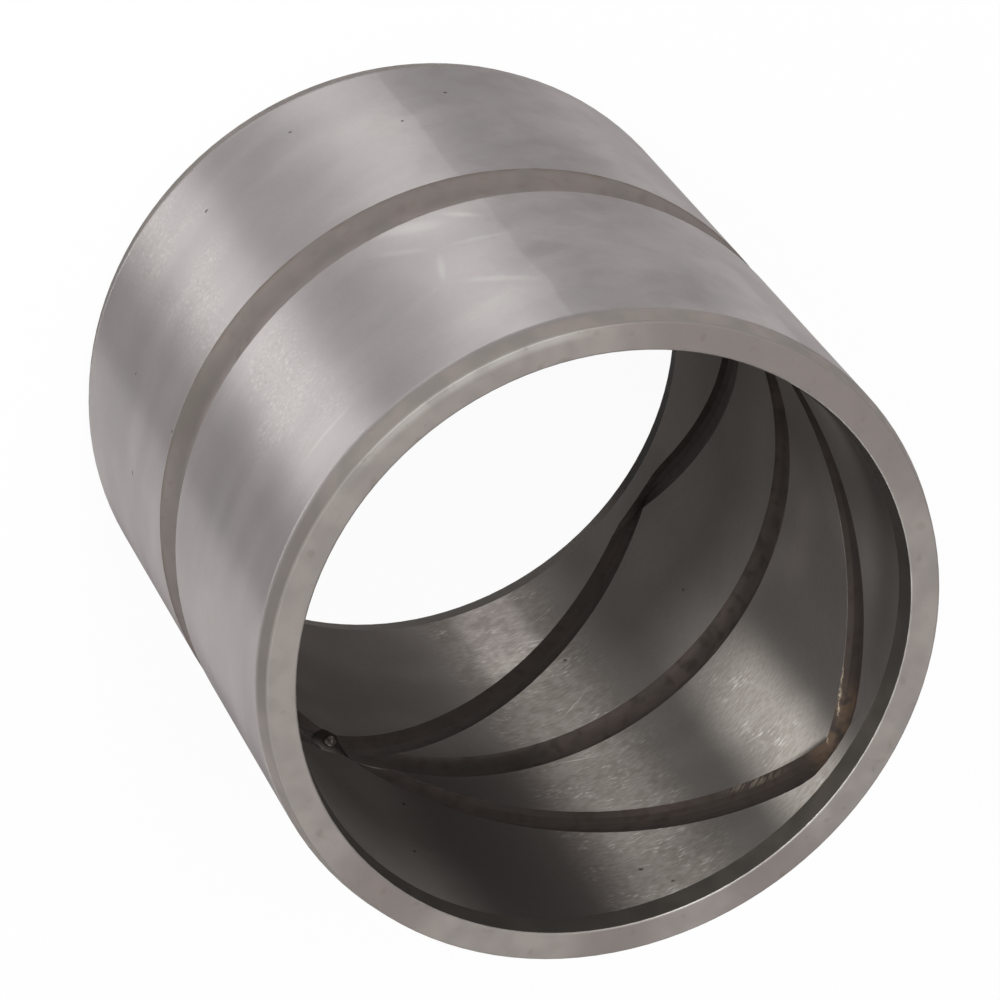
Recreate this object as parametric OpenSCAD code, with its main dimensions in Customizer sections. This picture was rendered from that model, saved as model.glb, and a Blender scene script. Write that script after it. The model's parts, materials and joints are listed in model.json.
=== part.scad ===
/* [Body] */
// Diameter of the bore, which runs on a pin
bore_d = 80; // [60:1:120]
// Thickness of the wall between the bore and the outside
wall = 5; // [4.5:0.5:12]
// Length from one end face to the other
length = 90; // [60:1:140]

/* [Ends] */
// Length of the outer lead-in along the axis
outer_lead_len = 2.6; // [1:0.1:5]
// How far the outer lead-in narrows the end
outer_lead_drop = 0.7; // [0.5:0.1:1.5]
// Radius that blends the outer lead-in into the outside
outer_lead_blend = 3; // [1:0.5:5]
// Length of the bore's lead-in along the axis
bore_lead_len = 3; // [1:0.1:5]
// How far the bore's lead-in widens the mouth
bore_lead_drop = 0.5; // [0.4:0.1:1.5]
// Radius of the rounded edges of the end faces
face_edge_r = 0.35; // [0.1:0.05:0.5]

/* [Outer groove] */
// Width of the groove around the outside
outer_groove_w = 7.8; // [4:0.2:14]
// Depth of the groove around the outside
outer_groove_depth = 1.5; // [0.6:0.1:2]
// Radius of the rounded rims of the groove around the outside
outer_rim_r = 0.4; // [0.1:0.1:0.8]

/* [Grease grooves in the bore] */
// Width of the groove that runs around the middle of the bore
ring_w = 5.6; // [3:0.2:10]
// Depth of the groove that runs around the middle of the bore
ring_depth = 1.3; // [0.5:0.1:2]
// Width of the two zigzag grooves, square to their run
zigzag_w = 5; // [3:0.2:8]
// Depth of the two zigzag grooves
zigzag_depth = 1.2; // [0.5:0.1:1.8]
// Land from a centred zigzag's turn to the end face
zigzag_land = 6.1; // [5:0.1:15]
// How far the zigzags sit above the middle of the bore
zigzag_rise = 0.8; // [-1.5:0.1:1.5]
// How softly a zigzag's outer edge bends into its turn
zigzag_turn_soft = 0.8; // [0.2:0.1:2]

/* [Grease hole] */
// Diameter of the hole that joins the inner and outer grooves
hole_d = 6; // [3:0.5:7]

/* [Hidden] */
$fn = 96;
// Steps around a zigzag, a whole number of steps to each quarter turn
zigzag_steps = 120;
// Steps across a zigzag's rounded section
zigzag_section_steps = 8;
// Steps across a ring groove's rounded section
ring_section_steps = 16;
// Steps in a rounded corner of the profile
corner_steps = 5;
// How far a cutting body reaches past the surface that it cuts
clear = 0.8;
bore_r = bore_d / 2;
outer_r = bore_r + wall;
mid_z = length / 2;
zigzag_mid_z = mid_z + zigzag_rise;
// Height of a zigzag's turns above and below its own middle
zigzag_reach = length / 2 - zigzag_land;
// Slope of a zigzag's legs on the unrolled bore
zigzag_slope = atan(zigzag_reach / (PI * bore_r / 2));

// Radius of the round-nosed tool that cuts a groove of this width and depth
function nose_r(width, depth) = (width * width / 4 + depth * depth) / (2 * depth);

// Points of a groove's rounded section from one rim to the other, at height z on a wall of radius r.
// The side is 1 where the groove is cut outward into a bore, and -1 where it is cut inward.
function groove_arc(r, z, width, depth, side) =
    let (nose = nose_r(width, depth), half = asin(width / 2 / nose))
    [for (i = [0:ring_section_steps])
        let (a = half * (2 * i / ring_section_steps - 1))
        [r + side * (depth - nose + nose * cos(a)), z + nose * sin(a)]];

// Arc of radius r that rounds the corner q between its neighbours p and s
function corner(p, q, s, r) =
    let (
        u = (p - q) / norm(p - q),
        v = (s - q) / norm(s - q),
        half = acos(u * v) / 2,
        centre = q + (u + v) / norm(u + v) * r / sin(half),
        start = q + u * r / tan(half) - centre,
        turn = 180 - 2 * half,
        way = sign(start[0] * (q - centre)[1] - start[1] * (q - centre)[0])
    )
    [for (i = [0:corner_steps])
        let (a = way * turn * i / corner_steps)
        centre + [start[0] * cos(a) - start[1] * sin(a), start[0] * sin(a) + start[1] * cos(a)]];

// Section of the wall as corners, each with the radius that rounds it, or 0 where it stays sharp
ring_points = groove_arc(bore_r, mid_z, ring_w, ring_depth, 1);
outer_points = groove_arc(outer_r, mid_z, outer_groove_w, outer_groove_depth, -1);
wall_corners = concat(
    [[[bore_r + bore_lead_drop, 0], face_edge_r]],
    [[[outer_r - outer_lead_drop, 0], face_edge_r]],
    [[[outer_r, outer_lead_len], outer_lead_blend]],
    [for (i = [0:ring_section_steps])
        [outer_points[i], i == 0 || i == ring_section_steps ? outer_rim_r : 0]],
    [[[outer_r, length - outer_lead_len], outer_lead_blend]],
    [[[outer_r - outer_lead_drop, length], face_edge_r]],
    [[[bore_r + bore_lead_drop, length], face_edge_r]],
    [[[bore_r, length - bore_lead_len], 0]],
    [for (i = [ring_section_steps:-1:0]) [ring_points[i], 0]],
    [[[bore_r, bore_lead_len], 0]]
);
wall_section = [
    for (i = [0:len(wall_corners) - 1])
        let (
            n = len(wall_corners),
            before = wall_corners[(i + n - 1) % n][0],
            here = wall_corners[i],
            after = wall_corners[(i + 1) % n][0]
        )
        each (here[1] > 0 ? corner(before, here[0], after, here[1]) : [here[0]])
];

// Height of a zigzag's middle line at an angle, from 1 at its upper turn to -1 at its lower turn
function zigzag_line(angle) = 1 - abs((angle - 90 + 540) % 360 - 180) / 90;

// Holds a height inside the zigzag's turns, where the groove ends on a line around the bore
function within_turns(h) =
    let (over = abs(h) - zigzag_reach)
    sign(h) * (zigzag_reach + (over - sqrt(over * over + zigzag_turn_soft * zigzag_turn_soft)) / 2);

// The body that a round-nosed tool sweeps along a zigzag. The way is 1 where the upper turn is on
// the +Y side, and -1 where the lower turn is there.
module zigzag_sweep(way) {
    nose = nose_r(zigzag_w, zigzag_depth);
    nose_centre = bore_r + zigzag_depth - nose;
    half = acos((bore_r - clear - nose_centre) / nose);
    row = zigzag_section_steps + 1;
    points = [
        for (i = [0:zigzag_steps - 1], j = [0:zigzag_section_steps])
            let (
                angle = 360 * i / zigzag_steps,
                across = half * (2 * j / zigzag_section_steps - 1),
                r = nose_centre + nose * cos(across),
                h = way * zigzag_reach * zigzag_line(angle) + nose * sin(across) / cos(zigzag_slope)
            )
            [r * cos(angle), r * sin(angle), zigzag_mid_z + within_turns(h)]
    ];
    faces = [
        for (i = [0:zigzag_steps - 1], j = [0:row - 1])
            let (
                a = i * row + j,
                b = i * row + (j + 1) % row,
                c = (i + 1) % zigzag_steps * row + j,
                d = (i + 1) % zigzag_steps * row + (j + 1) % row
            )
            each [[a, b, d], [a, d, c]]
    ];
    polyhedron(points, faces, convexity = 10);
}

// Hole through the wall on the +X side, from the bore's groove to the outer groove
module grease_hole() {
    translate([bore_r - clear, 0, mid_z])
        rotate([0, 90, 0])
            cylinder(d = hole_d, h = wall + 2 * clear);
}

module bushing() {
    color("#8d8884")
        difference() {
            rotate_extrude(convexity = 10) polygon(wall_section);
            zigzag_sweep(1);
            zigzag_sweep(-1);
            grease_hole();
        }
}

bushing();
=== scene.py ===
import json
import math

import bmesh
import bpy
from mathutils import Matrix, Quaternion, Vector, noise


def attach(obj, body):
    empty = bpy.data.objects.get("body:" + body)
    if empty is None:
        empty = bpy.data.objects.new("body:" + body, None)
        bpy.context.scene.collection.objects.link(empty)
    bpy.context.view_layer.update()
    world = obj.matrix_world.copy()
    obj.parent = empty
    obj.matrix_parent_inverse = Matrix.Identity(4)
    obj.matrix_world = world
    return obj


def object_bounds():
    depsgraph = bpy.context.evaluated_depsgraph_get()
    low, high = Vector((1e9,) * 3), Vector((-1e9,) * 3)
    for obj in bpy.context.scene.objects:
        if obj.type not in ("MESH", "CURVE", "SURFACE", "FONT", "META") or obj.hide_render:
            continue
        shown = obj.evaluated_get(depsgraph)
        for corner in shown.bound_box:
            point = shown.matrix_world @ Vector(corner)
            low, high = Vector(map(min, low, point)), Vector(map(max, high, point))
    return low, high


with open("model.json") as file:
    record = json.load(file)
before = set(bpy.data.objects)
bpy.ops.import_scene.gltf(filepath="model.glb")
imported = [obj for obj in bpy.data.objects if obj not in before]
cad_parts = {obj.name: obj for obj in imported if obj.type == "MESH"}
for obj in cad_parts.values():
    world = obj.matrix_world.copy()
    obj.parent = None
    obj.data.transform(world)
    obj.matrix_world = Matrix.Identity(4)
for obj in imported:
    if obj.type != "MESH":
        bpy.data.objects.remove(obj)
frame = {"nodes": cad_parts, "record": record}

MM = 0.001
CAD_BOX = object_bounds()
bushing = frame["nodes"]["bushing"]

# Sizes of the bushing, from the frame's mounts and box
MOUNTS = {mount["name"]: mount for mount in frame["record"]["mounts"]}
BORE_R = MOUNTS["bore"]["dims"]["r_mm"] * MM
OUTER_R = MOUNTS["outside"]["dims"]["r_mm"] * MM
LENGTH = CAD_BOX[1].z
MID_Z = LENGTH / 2
LEAD_IN = (LENGTH - MOUNTS["bore"]["dims"]["length_mm"] * MM) / 2
# All that is nearer to the axis belongs to the bore, with its grooves
BORE_REACH = BORE_R + 1.45 * MM

# Sizes that the frame doesn't hold: the rounded edges of the end faces, half the width that the two
# grooves around the middle take in the colours, and the grease hole
EDGE_R = 0.35 * MM
OUTER_GROOVE_HALF = 4.0 * MM
RING_GROOVE_HALF = 2.7 * MM
HOLE_R = 3.0 * MM

# Camera, as the photograph sees the bushing
CAMERA_AZIMUTH = -113.0
CAMERA_ELEVATION = 58.7
CAMERA_ROLL = -143.7
CAMERA_DISTANCE = 0.6999
CAMERA_LENS = 191.06
CAMERA_TARGET = Vector((0.0001, 0.00026, 0.04526))

# Lamps: azimuth and elevation in degrees, distance, width and height in metres, power in watts
LAMPS = {
    "window_left": (-145, 60, 1.2, 0.39, 0.80, 8.2),
    "window_right": (-86.5, 29, 1.2, 0.43, 0.46, 6.5),
    "card_right": (-29, 10, 1.2, 0.8, 0.3, 3.0),
    "card_left": (149, 10, 1.2, 0.8, 0.3, 1.8),
}
LAMP_COLOUR = (0.955, 1.0, 0.985)
WORLD_LIGHT = 0.6
FLOOR_HALF = 6.0
# Share of the floor that shows plain white, while the rest shows the shadow
FLOOR_WHITE = 0.95

# How rough the steel is where it is ground outside, ground in the bore, and turned
OUTSIDE_ROUGHNESS = 0.42
BORE_ROUGHNESS = 0.48
TURNED_ROUGHNESS = 0.62
GRINDING_DEPTH = 0.005 * MM

# Pits: azimuth in degrees, then height and radius in millimetres
OUTER_PITS = [
    (-57.5, 26.7, 0.3), (-101.9, 14.6, 0.42), (-121.3, 11.2, 0.3), (-138.3, 20.4, 0.25), (-73, 21.6, 0.25),
    (-73, 40.4, 0.25), (-148.8, 13, 0.3), (140, 18, 0.4),
]
BORE_PITS = [
    (50.8, 84.4, 0.35), (47, 79.3, 0.4), (3.8, 73.8, 0.4), (9, 58.5, 0.5), (60.2, 43, 0.3), (58.5, 25.5, 0.4),
    (86, 31.5, 0.3),
]

# Strokes: two ends, each an azimuth in degrees and a height in millimetres, and half the width
WIPED_STROKES = [
    ((-127, 68.4), (-141, 75.8), 1.2), ((-126, 69), (-129, 59), 0.8), ((-118.5, 52.5), (-129, 59.3), 1.2),
    ((-128, 59), (-142, 60.8), 0.9), ((-132, 49.5), (-140, 55), 1.0), ((-89, 80), (-105, 80), 0.5),
    ((-119, 47), (-134, 54), 2.2), ((-142, 62), (-151, 68), 1.6),
]
# Burrs on the zigzag's rims, painted bright as highlights
LIT_BURRS = [
    ((103.5, 75.9), (98.5, 78.2), 0.15), ((99.5, 77.7), (96.6, 79.2), 0.2), ((97.4, 78.8), (94, 80.6), 0.13),
    ((91.5, 80.4), (89.5, 82.3), 0.22),
]
BORE_SCRATCHES = [
    ((57, 51.3), (42, 47.8), 0.16), ((50, 39), (60, 34), 0.14), ((62, 20), (50, 15), 0.15),
    ((83, 69.5), (76, 67.5), 0.12), ((86, 57), (81, 55.2), 0.15),
]
# Old grease on the rim of a zigzag's turn
GRIMY_RIM = [((100, 85.8), (78, 76.6), 1.0)]
# Chattered rim of a zigzag's leg, and painted highlights on the ridges where the grooves run into each other
# by the hole
CHATTER = [((81.5, 78.6), (67, 72.0), 0.65)]
RIDGE_HIGHLIGHTS = [((3.6, 46.2), (11.4, 47.8), 0.32), ((-4.5, 46.3), (-11.4, 47.8), 0.26)]

# Stained parts of the end faces, each from one azimuth to another
FACE_STAINS = [(29, 44), (58, 76), (-19, 0)]

# Rusty upper turn of a zigzag groove: azimuth in degrees, then height and reach in millimetres
UPPER_TURN = (93.5, 82.5, 8)
# How far the inner rim, which is glossy and takes a painted highlight, reaches down from the end face
INNER_RIM = 0.16 * MM
# Azimuth where a painted edge of a lit band runs as a crisp line along the outside
LIT_BAND_EDGE = -140.0
LIT_BAND_EDGE_WIDTH = 0.9
# Burr on the rim of the grease hole: distance from the axis, azimuth in degrees, height and radius
HOLE_BURR = (40.9 * MM, 0.7, 42.8 * MM, 0.68 * MM)
BURR_STRETCH = 1.45
# Lumps of the burr: how fine they are and how deep, both against its radius
BURR_LUMPS = [(1.3, 0.32), (3.5, 0.12)]


def direction(azimuth, elevation):
    """Unit vector towards an azimuth from +X and an elevation from the floor, in degrees."""
    a, e = math.radians(azimuth), math.radians(elevation)
    return Vector((math.cos(a) * math.cos(e), math.sin(a) * math.cos(e), math.sin(e)))


def aim(thing, azimuth, elevation, distance, target, roll=0.0):
    """Places a thing on the given side of the target, looking at it, and rolls it about its view."""
    back = direction(azimuth, elevation)
    thing.location = target + back * distance
    thing.rotation_mode = "QUATERNION"
    level = (-back).to_track_quat("-Z", "Y")
    thing.rotation_quaternion = level @ Quaternion((0, 0, 1), math.radians(-roll))


def add_camera():
    """The camera that the picture is taken with."""
    data = bpy.data.cameras.new("camera")
    data.lens = CAMERA_LENS
    data.clip_start = 0.01
    data.clip_end = 20
    camera = bpy.data.objects.new("camera", data)
    bpy.context.scene.collection.objects.link(camera)
    aim(camera, CAMERA_AZIMUTH, CAMERA_ELEVATION, CAMERA_DISTANCE, CAMERA_TARGET, CAMERA_ROLL)
    bpy.context.scene.camera = camera


class Graph:
    """Short calls that add nodes to the tree of a material or of the world."""

    def __init__(self, owner):
        owner.use_nodes = True
        self.tree = owner.node_tree
        self.tree.nodes.clear()

    def node(self, kind, **values):
        """Adds a node and sets its properties."""
        made = self.tree.nodes.new(kind)
        for key, value in values.items():
            setattr(made, key, value)
        return made

    def put(self, socket, value):
        """Links a socket to another socket, or sets its value."""
        if isinstance(value, bpy.types.NodeSocket):
            self.tree.links.new(value, socket)
        else:
            socket.default_value = value

    def show(self, kind, shader):
        """Adds an output of this kind that shows the shader."""
        self.put(self.node(kind).inputs["Surface"], shader)

    def math(self, operation, a, b=0.0):
        made = self.node("ShaderNodeMath", operation=operation)
        self.put(made.inputs[0], a)
        self.put(made.inputs[1], b)
        return made.outputs[0]

    def product(self, *values):
        result = values[0]
        for value in values[1:]:
            result = self.math("MULTIPLY", result, value)
        return result

    def total(self, *values):
        result = values[0]
        for value in values[1:]:
            result = self.math("ADD", result, value)
        return result

    def span(self, value, start, end, low=0.0, high=1.0):
        """Turns value from start to end smoothly into low to high."""
        made = self.node("ShaderNodeMapRange", interpolation_type="SMOOTHSTEP")
        self.put(made.inputs["Value"], value)
        made.inputs["From Min"].default_value = start
        made.inputs["From Max"].default_value = end
        made.inputs["To Min"].default_value = low
        made.inputs["To Max"].default_value = high
        return made.outputs["Result"]

    def noise(self, vector, scale, detail, roughness=0.5):
        made = self.node("ShaderNodeTexNoise")
        self.put(made.inputs["Vector"], vector)
        made.inputs["Scale"].default_value = scale
        made.inputs["Detail"].default_value = detail
        made.inputs["Roughness"].default_value = roughness
        return made.outputs["Fac"]

    def blend(self, amount, a, b, blend_type="MIX"):
        """Colour a where the amount is 0, and colour b over it where the amount is 1."""
        made = self.node("ShaderNodeMix", data_type="RGBA", blend_type=blend_type)
        self.put(made.inputs["Factor"], amount)
        self.put(made.inputs["A"], a)
        self.put(made.inputs["B"], b)
        return made.outputs["Result"]

    def largest(self, *values):
        result = values[0]
        for value in values[1:]:
            result = self.math("MAXIMUM", result, value)
        return result

    def length(self, vector):
        made = self.node("ShaderNodeVectorMath", operation="LENGTH")
        self.put(made.inputs[0], vector)
        return made.outputs["Value"]

    def off(self, mask):
        """1 where the mask is 0, and 0 where it is 1."""
        return self.math("SUBTRACT", 1.0, mask)

    def turned(self, vector, degrees):
        """Turns a vector about the X axis."""
        made = self.node("ShaderNodeVectorRotate", rotation_type="X_AXIS")
        self.put(made.inputs["Vector"], vector)
        made.inputs["Angle"].default_value = math.radians(degrees)
        return made.outputs["Vector"]

    def stretch(self, vector, x, y, z):
        """Scales a vector, so that a texture on it grows finer along each axis by that factor."""
        made = self.node("ShaderNodeMapping")
        self.put(made.inputs["Vector"], vector)
        made.inputs["Scale"].default_value = (x, y, z)
        return made.outputs["Vector"]


def rgb(red, green, blue):
    """Colour for a shader from a colour as the screen shows it, 0 to 255."""
    def linear(c):
        c /= 255
        return c / 12.92 if c <= 0.04045 else ((c + 0.055) / 1.055) ** 2.4
    return (linear(red), linear(green), linear(blue), 1.0)


class Surface:
    """Where each part of the bushing's surface is, and the textures that the parts share."""

    def __init__(self, g):
        self.g = g
        self.place = g.node("ShaderNodeTexCoord").outputs["Object"]
        split = g.node("ShaderNodeSeparateXYZ")
        g.put(split.inputs[0], self.place)
        self.x, self.y, self.height = split.outputs
        self.radius = g.math("SQRT", g.total(g.product(self.x, self.x), g.product(self.y, self.y)))
        self.turn = g.math("ARCTAN2", self.y, self.x)
        self.angle = g.product(self.turn, 180 / math.pi)
        self.clouds = g.noise(self.place, 70, 1, 0.5)
        self.blotches = g.noise(self.place, 260, 1, 0.6)
        self.mottle = g.noise(self.place, 480, 1, 0.65)
        self.flecks = g.noise(self.place, 1900, 1, 0.6)
        self.streaks = g.noise(g.stretch(self.place, 900, 900, 2900), 1.0, 1, 0.65)
        self.set_masks()

    def set_masks(self):
        """Sets the masks, each 1 on its part. in_bore tells the bore's side of the wall from the outer
        side, and the mask of a part holds only on the part's own side."""
        g = self.g
        end_gap = g.math("MINIMUM", self.height, g.math("SUBTRACT", LENGTH, self.height))
        from_mid = g.math("ABSOLUTE", g.math("SUBTRACT", self.height, MID_Z))
        self.off_ring = g.span(from_mid, RING_GROOVE_HALF - 0.5 * MM, RING_GROOVE_HALF + 0.5 * MM)
        inner = g.math("LESS_THAN", self.radius, BORE_REACH)
        self.in_bore = g.product(inner, g.math("GREATER_THAN", end_gap, INNER_RIM))
        self.face = g.product(g.span(end_gap, 0.12 * MM, 0.02 * MM),
                              g.span(self.radius, BORE_R + 0.55 * MM, BORE_R + 0.7 * MM))
        off_face = g.off(self.face)
        self.face_rim = g.product(off_face, g.span(end_gap, 1.03 * EDGE_R, 0.8 * EDGE_R))
        self.inner_rim = g.product(off_face, inner)
        self.outer_lead = g.product(off_face, g.span(end_gap, 1.12 * LEAD_IN, 0.62 * LEAD_IN))
        self.outer_groove = g.span(from_mid, 1.02 * OUTER_GROOVE_HALF, 0.99 * OUTER_GROOVE_HALF)
        self.bore_lead = g.span(end_gap, 1.02 * LEAD_IN, 0.98 * LEAD_IN)
        self.bore_groove = g.product(g.math("GREATER_THAN", end_gap, 1.1 * LEAD_IN),
                                     g.span(self.radius, BORE_R + 0.004 * MM, BORE_R + 0.03 * MM))
        off_axis = g.total(g.product(self.y, self.y), g.product(from_mid, from_mid))
        self.hole = g.product(g.math("GREATER_THAN", self.x, 0.0),
                              g.math("LESS_THAN", off_axis, (1.03 * HOLE_R) ** 2))

    def sector(self, start, rise_end, fall_start, end):
        """1 between two azimuths in degrees, with a soft rise from the start and a soft fall to the end."""
        g = self.g
        return g.product(g.span(self.angle, start, rise_end), g.span(self.angle, end, fall_start))

    def unrolled(self, radius, raggedness):
        """Millimetres around a cylinder of this radius, and along it, shifted unevenly for ragged edges."""
        g = self.g
        shift = g.product(g.math("SUBTRACT", self.flecks, 0.5), raggedness)
        made = g.node("ShaderNodeCombineXYZ")
        g.put(made.inputs[0], g.total(g.product(self.turn, radius / MM), shift))
        g.put(made.inputs[1], g.total(g.product(self.height, 1 / MM), shift))
        return made.outputs[0]

    def marked(self, flat, ellipses, sharpness):
        """1 inside ellipses, each given as its middle, its half length, half width and turn."""
        g = self.g
        nearest = None
        for middle, half_length, half_width, turn in ellipses:
            local = g.node("ShaderNodeMapping", vector_type="TEXTURE")
            g.put(local.inputs["Vector"], flat)
            local.inputs["Location"].default_value = middle
            local.inputs["Rotation"].default_value = (0, 0, turn)
            local.inputs["Scale"].default_value = (half_length, half_width, 1)
            apart = g.length(local.outputs["Vector"])
            nearest = apart if nearest is None else g.math("MINIMUM", nearest, apart)
        return g.span(nearest, 1.0, sharpness)

    def spots(self, radius, marks, raggedness=0.5):
        """1 inside small round marks, each given as azimuth in degrees, height and radius in mm."""
        ellipses = []
        for azimuth, height, size in marks:
            ellipses.append((Vector((math.radians(azimuth) * radius / MM, height, 0)), size, size, 0.0))
        return self.marked(self.unrolled(radius, raggedness), ellipses, 0.4)

    def strokes(self, radius, marks, raggedness=0.0):
        """1 inside soft tapered strokes, each given as its two ends and half its width."""
        ellipses = []
        for (azimuth_a, height_a), (azimuth_b, height_b), half_width in marks:
            a = Vector((math.radians(azimuth_a) * radius / MM, height_a, 0))
            b = Vector((math.radians(azimuth_b) * radius / MM, height_b, 0))
            turn = math.atan2(b.y - a.y, b.x - a.x)
            ellipses.append(((a + b) / 2, (b - a).length / 2, half_width, turn))
        return self.marked(self.unrolled(radius, raggedness), ellipses, 0.1)


def outside_colour(s):
    """Ground steel with faint smears, wiped strokes and stains, with painted glints, a painted band edge,
    painted shade on an unlit stretch and painted light on one side.
    """
    g = s.g
    smears = g.noise(g.stretch(g.turned(s.place, 28), 40, 40, 170), 1.0, 1, 0.6)
    colour = g.blend(g.span(s.clouds, 0.3, 0.7), rgb(156, 150, 150), rgb(164, 158, 157))
    colour = g.blend(g.span(smears, 0.4, 0.7, 0.0, 0.09), colour, rgb(206, 200, 198))
    colour = g.blend(g.span(s.streaks, 0.3, 0.7, 0.05, 0.0), colour, rgb(112, 106, 104))

    wiped = g.product(s.strokes(OUTER_R, WIPED_STROKES), g.span(s.clouds, 0.3, 0.6, 0.4, 1.0))
    colour = g.blend(g.product(wiped, 0.17), colour, rgb(226, 221, 218))
    # Painted shade on an unlit stretch of the outside
    unlit_gap_shade = g.product(s.sector(-86, -80, -72, -66), g.span(s.clouds, 0.2, 0.5, 0.5, 1.0))
    colour = g.blend(g.product(unlit_gap_shade, 0.16), colour, rgb(104, 99, 99))
    # Painted edge of a lit band: a crisp line along the bushing, with painted light on one side and painted
    # shade on the other
    band_edge_angle = g.total(s.angle, g.span(s.clouds, 0.3, 0.7, -0.5, 0.5))
    past_band_edge = g.span(band_edge_angle, LIT_BAND_EDGE, LIT_BAND_EDGE - LIT_BAND_EDGE_WIDTH)
    painted_band_light = g.product(g.off(past_band_edge), g.span(s.angle, -118, -136))
    painted_band_shade = g.product(past_band_edge, g.span(s.angle, -160, -145))
    colour = g.blend(g.product(painted_band_light, 0.07), colour, rgb(226, 221, 220))
    colour = g.blend(g.product(painted_band_shade, 0.05), colour, rgb(112, 107, 106))
    # Painted light: this side is a little lighter, more so towards the top, and it is stained
    painted_light_side = g.product(g.span(s.angle, -138, -155), g.span(s.height, 56 * MM, 76 * MM, 0.05, 0.14))
    colour = g.blend(g.product(painted_light_side, g.span(s.clouds, 0.3, 0.6, 0.5, 1.0)), colour, rgb(214, 209, 208))
    stains = g.product(g.span(s.angle, -128, -146, 0.3, 1.0), g.span(s.blotches, 0.44, 0.64))
    colour = g.blend(g.product(stains, 0.12), colour, rgb(124, 114, 110))

    # Painted glints: light and dark flecks on part of the lit band
    glints = g.product(g.span(s.clouds, 0.4, 0.6), s.sector(-108, -98, -90, -78))
    glint_patch = g.span(glints, 0, 1, 0.02, 0.15)
    colour = g.blend(g.product(glint_patch, g.span(s.flecks, 0.52, 0.76)), colour, rgb(226, 221, 220))
    colour = g.blend(g.product(glint_patch, g.span(s.flecks, 0.44, 0.26)), colour, rgb(100, 93, 92))
    return colour


def outer_groove_colour(s):
    """Turned groove, brownish, with small spots of rust, painted shade towards its far wall, and painted
    shade along its far rim, mottled.
    """
    g = s.g
    colour = g.blend(g.span(s.blotches, 0.3, 0.7), rgb(134, 126, 123), rgb(147, 135, 132))
    # Painted shade towards the groove's far wall, stronger on the unlit stretch
    far_wall_shade = g.span(s.height, MID_Z + 1.8 * MM, MID_Z - 1.6 * MM)
    unlit_gap_shade = s.sector(-90, -80, -76, -66)
    far_wall_shade = g.product(far_wall_shade, g.total(0.6, g.product(unlit_gap_shade, 0.3)))
    colour = g.blend(far_wall_shade, colour, rgb(106, 99, 95))
    rust = g.span(s.mottle, 0.58, 0.74)
    colour = g.blend(g.product(rust, 0.22), colour, rgb(104, 86, 80))
    # Painted shade along the far rim, mottled
    rim = g.product(g.span(s.height, MID_Z - 3.4 * MM, MID_Z - 4.0 * MM), g.span(s.blotches, 0.35, 0.6))
    return g.blend(g.product(rim, 0.45), colour, rgb(92, 80, 70))


def lead_colour(s):
    """Turned lead-in around the outside, matte and warm."""
    g = s.g
    colour = g.blend(g.span(s.blotches, 0.3, 0.7), rgb(131, 124, 120), rgb(142, 132, 128))
    return g.blend(g.product(s.sector(-98, -84, -60, -44), 0.8), colour, rgb(111, 104, 101))


def edge_highlight_sector(s):
    """1 where the outer edge of the end face takes a painted highlight."""
    return s.sector(-146, -134, -116, -84)


def face_colour(s):
    """Turned end face with faint mottling, specks and stains, and a painted highlight near its outer edge on
    one side.
    """
    g = s.g
    colour = g.blend(g.span(s.blotches, 0.3, 0.7), rgb(145, 137, 134), rgb(157, 148, 144))
    colour = g.blend(g.span(s.clouds, 0.35, 0.65, 0.0, 0.3), colour, rgb(160, 152, 147))
    stained = g.math("MAXIMUM", g.span(s.angle, -144, -156), g.span(s.angle, 136, 154))
    for start, end in FACE_STAINS:
        stained = g.math("MAXIMUM", stained, s.sector(start - 5, start + 5, end - 5, end + 5))
    colour = g.blend(g.product(stained, 0.75), colour, rgb(132, 122, 119))
    # Painted highlight near the outer edge of the face
    edge_highlight = g.product(g.span(s.radius, OUTER_R - 2.2 * MM, OUTER_R - 1.2 * MM), edge_highlight_sector(s))
    colour = g.blend(g.product(edge_highlight, g.span(s.blotches, 0.3, 0.6, 0.4, 0.75)), colour, rgb(190, 184, 180))
    speck = g.span(s.mottle, 0.62, 0.76)
    colour = g.blend(g.product(speck, 0.25), colour, rgb(112, 96, 88))
    fine = g.span(s.flecks, 0.3, 0.22)
    return g.blend(g.product(fine, 0.3), colour, rgb(104, 94, 88))


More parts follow.
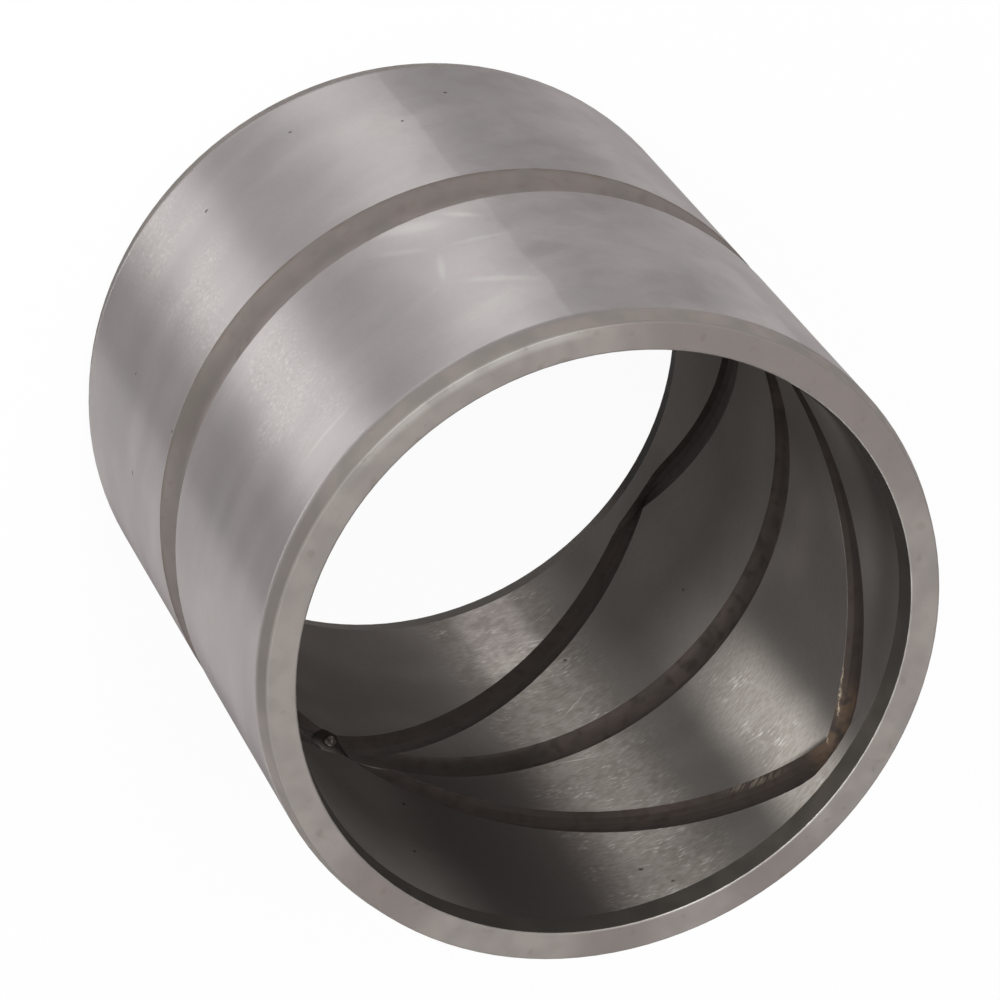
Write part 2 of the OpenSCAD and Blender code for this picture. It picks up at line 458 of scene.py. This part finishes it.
def bore_steel_colour(s):
    """Ground bore, scratched, with painted highlights on the lit bands and painted shade by the grease hole,
    between the bands and deep inside.
    """
    g = s.g
    # Painted shade by the grease hole, deep inside and between the lit bands, painted highlights on the lit
    # bands, and darker near the mouth on one side
    shade_by_hole = g.product(g.span(s.angle, 48, 34), g.span(s.angle, 0, 18, 0.55, 1.0),
                       g.span(s.height, 36 * MM, 50 * MM, 0.3, 1.0))
    darker_by_mouth = g.product(g.span(s.angle, 92, 118), g.span(s.height, 73 * MM, 84 * MM, 0.05, 0.75))
    cleaner = g.product(s.sector(95, 106, 122, 138), g.span(s.height, 36 * MM, 50 * MM))
    deep = g.product(g.span(s.angle, 58, 72), g.span(s.height, 42 * MM, 28 * MM))
    between = s.sector(57, 64, 71, 78)
    polish_and_highlight = g.product(s.sector(70, 80, 87, 95), g.span(s.height, 40 * MM, 58 * MM))
    low_band_highlight = g.product(s.sector(42, 46, 55, 58), g.span(s.height, 30 * MM, 18 * MM))
    colour = g.blend(shade_by_hole, rgb(127, 121, 117), rgb(84, 78, 76))
    colour = g.blend(g.product(cleaner, 0.5), colour, rgb(160, 153, 149))
    colour = g.blend(g.product(low_band_highlight, 0.75), colour, rgb(168, 160, 157))
    colour = g.blend(darker_by_mouth, colour, rgb(64, 59, 57))
    colour = g.blend(g.product(deep, 0.5), colour, rgb(90, 85, 82))
    colour = g.blend(g.product(between, 0.4), colour, rgb(92, 87, 84))
    colour = g.blend(polish_and_highlight, colour, rgb(160, 153, 148))
    colour = g.blend(g.span(s.clouds, 0.6, 0.36, 0.0, 0.25), colour, rgb(84, 78, 75))

    # Short marks of the honing, shown on the lit bands, and painted glints along them
    low_patch = s.sector(34, 42, 58, 67)
    honed = g.math("MAXIMUM", low_patch, polish_and_highlight)
    shade = g.blend(g.span(s.streaks, 0.34, 0.62), rgb(235, 232, 230), rgb(255, 255, 255))
    colour = g.blend(g.span(honed, 0, 1, 0.3, 1.0), colour, g.blend(1.0, colour, shade, "MULTIPLY"))
    mottled = g.product(g.span(s.mottle, 0.42, 0.68), low_patch)
    colour = g.blend(g.product(mottled, 0.3), colour, rgb(92, 82, 78))
    crest = g.product(polish_and_highlight, s.sector(75, 81, 84, 90))
    glinting = g.math("MAXIMUM", g.product(low_patch, 0.17), g.product(crest, 0.4))
    patchy = g.product(glinting, g.span(s.blotches, 0.45, 0.65))
    colour = g.blend(g.product(patchy, g.span(s.streaks, 0.58, 0.72)), colour, rgb(240, 234, 228))
    return g.blend(g.product(s.strokes(BORE_R, BORE_SCRATCHES, 0.15), 0.22), colour, rgb(236, 231, 225))


def grease_groove_colour(s):
    """Grooves in the bore: dark, brown with old grease, and rusty at the upper turn on the +Y side."""
    g = s.g
    colour = g.blend(g.span(s.blotches, 0.35, 0.7), rgb(90, 81, 77), rgb(101, 89, 84))
    colour = g.blend(g.product(s.off_ring, 0.75), colour, rgb(60, 52, 49))
    shaded_ring = g.product(g.off(s.off_ring), g.span(s.angle, 50, 38))
    colour = g.blend(g.product(shaded_ring, 0.8), colour, rgb(56, 50, 47))
    colour = g.blend(g.product(g.span(s.mottle, 0.5, 0.75), 0.4), colour, rgb(54, 43, 38))
    turn = g.product(s.spots(BORE_R, [UPPER_TURN], 3.0), g.span(s.mottle, 0.36, 0.6))
    return g.blend(g.product(turn, 0.6), colour, rgb(116, 95, 78))


def bore_lead_colour(s):
    """Turned lead-in at the mouth of the bore, dark and matte, with a painted sheen on one side of the far
    end's lead-in.
    """
    g = s.g
    colour = g.blend(g.span(s.blotches, 0.3, 0.7), rgb(77, 72, 68), rgb(88, 81, 76))
    stained = g.math("MAXIMUM", g.span(s.angle, 76, 24), g.span(s.angle, 88, 134))
    colour = g.blend(g.product(stained, 0.75), colour, rgb(52, 47, 44))
    # Painted sheen: the far end's lead-in is lighter on one side
    rear = g.blend(g.span(s.angle, 78, 92), rgb(108, 101, 96), rgb(54, 48, 46))
    return g.blend(g.math("LESS_THAN", s.height, MID_Z), colour, rear)


def hole_shade(s):
    """Painted shade in the grease hole: darkest by the bore, lighter further out."""
    depth = s.g.span(s.radius, BORE_R + 1.4 * MM, BORE_R + 3.0 * MM)
    return s.g.blend(depth, rgb(34, 28, 25), rgb(110, 101, 97))


def outer_colour(s):
    """Colour of the outside and the end faces, with painted highlights on the rim of the bore's mouth and on
    part of the face's outer rim, and painted shade in the grease hole.
    """
    g = s.g
    colour = g.blend(s.outer_lead, outside_colour(s), lead_colour(s))
    colour = g.blend(s.outer_groove, colour, outer_groove_colour(s))
    ground = g.off(g.math("MAXIMUM", s.face, s.outer_groove))
    colour = g.blend(g.product(s.spots(OUTER_R, OUTER_PITS), ground, 0.85), colour, rgb(52, 46, 43))
    colour = g.blend(s.face, colour, face_colour(s))
    # Painted highlights on the rim of the bore's mouth and on part of the face's outer rim
    mouth_highlight = g.product(s.inner_rim, g.span(s.angle, 36, 52, 0.25, 1.0))
    bright_rim = g.math("MAXIMUM", mouth_highlight, g.product(s.face_rim, edge_highlight_sector(s), 0.15))
    bright_rim = g.product(bright_rim, g.span(s.blotches, 0.35, 0.6, 0.5, 1.0))
    colour = g.blend(s.face_rim, colour, rgb(132, 125, 121))
    colour = g.blend(bright_rim, colour, rgb(186, 180, 176))
    # Painted shade in the grease hole
    return g.blend(g.product(s.hole, 0.9), colour, hole_shade(s))


def inner_colour(s):
    """Colour of the bore, its grooves and its lead-ins."""
    g = s.g
    colour = g.blend(s.bore_groove, bore_steel_colour(s), grease_groove_colour(s))
    # Burrs painted bright as highlights, and chatter marks
    lit_burrs = g.product(s.strokes(BORE_R, LIT_BURRS, 0.35), g.span(s.flecks, 0.3, 0.6, 0.3, 0.8))
    hatch = g.noise(g.stretch(s.place, 500, 500, 4200), 1.0, 0)
    chatter = g.product(s.strokes(BORE_R, CHATTER), g.span(hatch, 0.48, 0.66), 0.2)
    colour = g.blend(g.math("MAXIMUM", lit_burrs, chatter), colour, rgb(200, 184, 164))
    # Painted highlights on the ridges by the hole
    colour = g.blend(g.product(s.strokes(BORE_R, RIDGE_HIGHLIGHTS, 0.2), 0.5), colour, rgb(176, 160, 152))
    colour = g.blend(s.bore_lead, colour, bore_lead_colour(s))
    ground = g.off(g.math("MAXIMUM", s.bore_groove, s.bore_lead))
    dirt = g.math("MAXIMUM", s.spots(BORE_R, BORE_PITS), s.strokes(BORE_R, GRIMY_RIM, 0.2))
    colour = g.blend(g.product(dirt, ground, 0.85), colour, rgb(52, 46, 43))
    # Painted shade in the grease hole
    return g.blend(g.product(s.hole, 0.9), colour, hole_shade(s))


def steel_shader(s, colour, matte, ground_roughness, tangent, normal):
    """Metal that is ground where matte is 0, and turned and dull where it is 1."""
    g = s.g
    shader = g.node("ShaderNodeBsdfPrincipled")
    g.put(shader.inputs["Base Color"], colour)
    rougher = g.product(matte, TURNED_ROUGHNESS - ground_roughness)
    g.put(shader.inputs["Roughness"], g.total(ground_roughness, rougher))
    g.put(shader.inputs["Metallic"], g.off(g.product(matte, 0.5)))
    shader.inputs["Specular Tint"].default_value = (0.3, 0.3, 0.3, 1)
    shader.inputs["Anisotropic"].default_value = 1.0
    shader.inputs["Anisotropic Rotation"].default_value = 0.25
    g.put(shader.inputs["Tangent"], tangent)
    g.put(shader.inputs["Normal"], normal)
    return shader.outputs[0]


def steel_tangent(s, matte):
    """Way of the marks: around the axis where the steel is ground, and every way where it is matte."""
    g = s.g
    tangent = g.node("ShaderNodeTangent", direction_type="RADIAL", axis="Z")
    scatter = g.node("ShaderNodeTexWhiteNoise", noise_dimensions="3D")
    g.put(scatter.inputs["Vector"], g.stretch(s.place, 1000, 1000, 1000))
    turned = g.node("ShaderNodeVectorRotate", rotation_type="AXIS_ANGLE")
    g.put(turned.inputs["Vector"], tangent.outputs[0])
    g.put(turned.inputs["Axis"], g.node("ShaderNodeNewGeometry").outputs["Normal"])
    g.put(turned.inputs["Angle"], g.product(matte, scatter.outputs["Value"], math.pi))
    return turned.outputs[0]


def steel_material():
    """The bushing's steel, ground, turned, worn and greasy by place, with painted light and shade on parts of
    it.
    """
    material = bpy.data.materials.new("ground_steel")
    g = Graph(material)
    s = Surface(g)
    bump = g.node("ShaderNodeBump")
    bump.inputs["Distance"].default_value = GRINDING_DEPTH
    bump.inputs["Strength"].default_value = 0.5
    g.put(bump.inputs["Height"], g.total(s.streaks, g.product(s.flecks, 0.3)))
    normal = bump.outputs[0]

    # Two shaders share the work, so that each point pays only for its own side's textures
    turned = g.largest(s.face, s.outer_lead, s.outer_groove, s.hole)
    matte = g.product(turned, g.off(s.inner_rim))
    tangent = steel_tangent(s, g.math("MAXIMUM", matte, s.face_rim))
    outside = steel_shader(s, outer_colour(s), matte, OUTSIDE_ROUGHNESS, tangent, normal)
    matte = g.largest(s.bore_groove, s.bore_lead, s.hole)
    inside = steel_shader(s, inner_colour(s), matte, BORE_ROUGHNESS, steel_tangent(s, matte), normal)
    mix = g.node("ShaderNodeMixShader")
    g.put(mix.inputs[0], s.in_bore)
    g.put(mix.inputs[1], outside)
    g.put(mix.inputs[2], inside)
    g.show("ShaderNodeOutputMaterial", mix.outputs[0])
    return material


def add_hole_burr():
    """The lump of steel that drilling left on the rim of the grease hole, inside the bore."""
    radius, azimuth, height, size = HOLE_BURR
    lump = bmesh.new()
    bmesh.ops.create_icosphere(lump, subdivisions=3, radius=size)
    for vertex in lump.verts:
        lumps = sum(depth * noise.noise(vertex.co / size * fineness) for fineness, depth in BURR_LUMPS)
        vertex.co *= 1 + lumps
        vertex.co.z *= BURR_STRETCH
    mesh = bpy.data.meshes.new("hole_burr")
    lump.to_mesh(mesh)
    lump.free()
    mesh.shade_smooth()
    burr = bpy.data.objects.new("hole_burr", mesh)
    bpy.context.scene.collection.objects.link(burr)
    place = direction(azimuth, 0) * radius
    burr.location = (place.x, place.y, height)

    material = bpy.data.materials.new("burr_steel")
    g = Graph(material)
    where = g.node("ShaderNodeTexCoord").outputs["Object"]
    mottle = g.noise(where, 1500, 2, 0.6)
    shader = g.node("ShaderNodeBsdfPrincipled")
    colour = g.blend(g.span(mottle, 0.4, 0.6), rgb(72, 61, 58), rgb(108, 99, 93))
    g.put(shader.inputs["Base Color"], colour)
    g.put(shader.inputs["Roughness"], g.span(mottle, 0.4, 0.6, 0.68, 0.5))
    shader.inputs["Metallic"].default_value = 0.5
    g.show("ShaderNodeOutputMaterial", shader.outputs[0])
    mesh.materials.append(material)
    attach(burr, "root")


def seen_directly(g):
    """1 for rays that the camera, a gloss or a clear body sends, and 0 for the rest."""
    path = g.node("ShaderNodeLightPath").outputs
    seen = g.math("MAXIMUM", path["Is Camera Ray"], path["Is Glossy Ray"])
    return g.math("MAXIMUM", seen, path["Is Transmission Ray"])


def add_floor():
    """A white floor that keeps a faint shadow."""
    mesh = bpy.data.meshes.new("floor")
    corners = [(x * FLOOR_HALF, y * FLOOR_HALF, 0) for x, y in ((-1, -1), (1, -1), (1, 1), (-1, 1))]
    mesh.from_pydata(corners, [], [(0, 1, 2, 3)])
    floor = bpy.data.objects.new("floor", mesh)
    bpy.context.scene.collection.objects.link(floor)
    material = bpy.data.materials.new("floor_white")
    g = Graph(material)
    diffuse = g.node("ShaderNodeBsdfDiffuse")
    diffuse.inputs["Color"].default_value = (0.8, 0.8, 0.8, 1)
    glow = g.node("ShaderNodeEmission")
    glow.inputs["Strength"].default_value = 1.0
    mix = g.node("ShaderNodeMixShader")
    g.put(mix.inputs[0], g.product(seen_directly(g), FLOOR_WHITE))
    g.put(mix.inputs[1], diffuse.outputs[0])
    g.put(mix.inputs[2], glow.outputs[0])
    g.show("ShaderNodeOutputMaterial", mix.outputs[0])
    mesh.materials.append(material)


def add_world():
    """An even light from all around, which shows as plain white."""
    world = bpy.data.worlds.new("world")
    bpy.context.scene.world = world
    g = Graph(world)
    back = g.node("ShaderNodeBackground")
    g.put(back.inputs["Strength"], g.span(seen_directly(g), 0, 1, WORLD_LIGHT, 1.0))
    g.show("ShaderNodeOutputWorld", back.outputs[0])


def add_lamp(name, azimuth, elevation, distance, width, height, power):
    """A flat lamp that looks at the middle of the bushing and doesn't show in the picture."""
    data = bpy.data.lights.new(name, "AREA")
    data.shape = "RECTANGLE"
    data.size = width
    data.size_y = height
    data.energy = power
    data.color = LAMP_COLOUR
    lamp = bpy.data.objects.new(name, data)
    bpy.context.scene.collection.objects.link(lamp)
    aim(lamp, azimuth, elevation, distance, Vector((0, 0, MID_Z)))
    lamp.visible_camera = False


add_camera()
for slot in bushing.material_slots:
    slot.material = steel_material()
add_hole_burr()
add_floor()
add_world()
for lamp_name, values in LAMPS.items():
    add_lamp(lamp_name, *values)
bpy.context.scene.view_settings.view_transform = "Standard"
